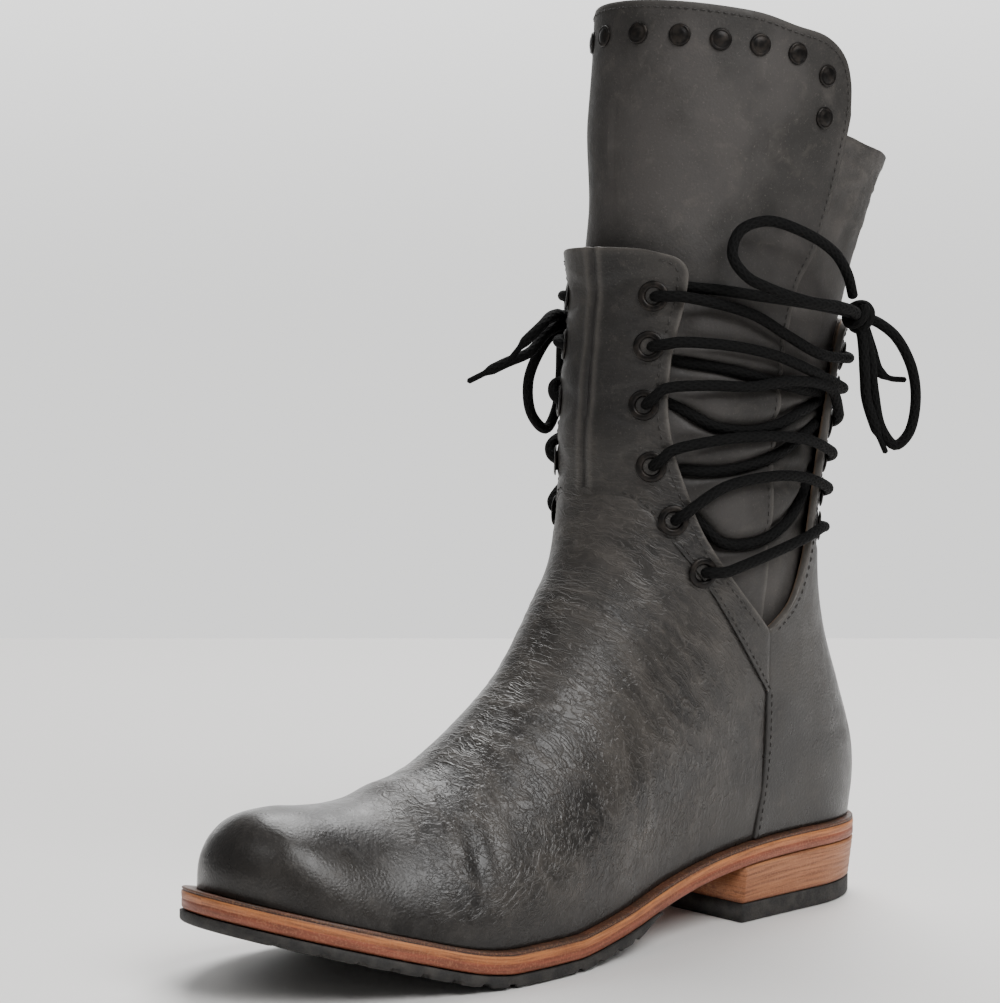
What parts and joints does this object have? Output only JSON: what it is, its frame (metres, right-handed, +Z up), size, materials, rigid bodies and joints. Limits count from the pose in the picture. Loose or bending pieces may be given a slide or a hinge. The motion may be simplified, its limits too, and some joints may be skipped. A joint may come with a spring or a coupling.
{
  "type": "leather_boot",
  "caption": "Tall left boot in worn taupe leather, laced through eyelets at both sides, with a studded flap, stacked heel and black lugged rubber sole",
  "frame": {"origin": "on the floor under the middle of the heel, where the top lift rests", "axes": "+Z up; -Y towards the toe; +X to the wearer's left, the boot's lateral side"},
  "size_m": [0.1067, 0.2936, 0.3177],
  "materials": {
    "upper_leather": "satin",
    "shaft_leather": "matte",
    "insole_leather": "matte",
    "midsole_leather": "satin",
    "heel_leather": "satin",
    "sole_rubber": "matte",
    "dark_metal": "satin",
    "lace_cord": "matte"
  },
  "bodies": {
    "root": {"upper": "upper_leather", "shaft_flap": "shaft_leather", "shaft_back": "shaft_leather", "insole": "insole_leather", "midsole": "midsole_leather", "forefoot_rubber": "sole_rubber", "heel_block": "heel_leather", "top_lift": "sole_rubber", "eyelet_front_lateral_1": "dark_metal", "eyelet_front_lateral_2": "dark_metal", "eyelet_front_lateral_3": "dark_metal", "eyelet_front_lateral_4": "dark_metal", "eyelet_front_lateral_5": "dark_metal", "eyelet_front_lateral_6": "dark_metal", "eyelet_back_lateral_1": "dark_metal", "eyelet_back_lateral_2": "dark_metal", "eyelet_back_lateral_3": "dark_metal", "eyelet_back_lateral_4": "dark_metal", "eyelet_back_lateral_5": "dark_metal", "eyelet_back_lateral_6": "dark_metal", "eyelet_front_medial_1": "dark_metal", "eyelet_front_medial_2": "dark_metal", "eyelet_front_medial_3": "dark_metal", "eyelet_front_medial_4": "dark_metal", "eyelet_front_medial_5": "dark_metal", "eyelet_front_medial_6": "dark_metal", "eyelet_back_medial_1": "dark_metal", "eyelet_back_medial_2": "dark_metal", "eyelet_back_medial_3": "dark_metal", "eyelet_back_medial_4": "dark_metal", "eyelet_back_medial_5": "dark_metal", "eyelet_back_medial_6": "dark_metal", "stud_lateral_1": "dark_metal", "stud_lateral_2": "dark_metal", "stud_lateral_3": "dark_metal", "stud_lateral_4": "dark_metal", "stud_lateral_5": "dark_metal", "stud_lateral_6": "dark_metal", "stud_lateral_7": "dark_metal", "stud_medial_1": "dark_metal", "stud_medial_2": "dark_metal", "stud_medial_3": "dark_metal", "stud_medial_4": "dark_metal", "stud_medial_5": "dark_metal", "stud_medial_6": "dark_metal", "stud_medial_7": "dark_metal", "lacing_lateral": "lace_cord", "bow_lateral": "lace_cord", "lacing_medial": "lace_cord", "bow_medial": "lace_cord"}
  },
  "joints": []
}
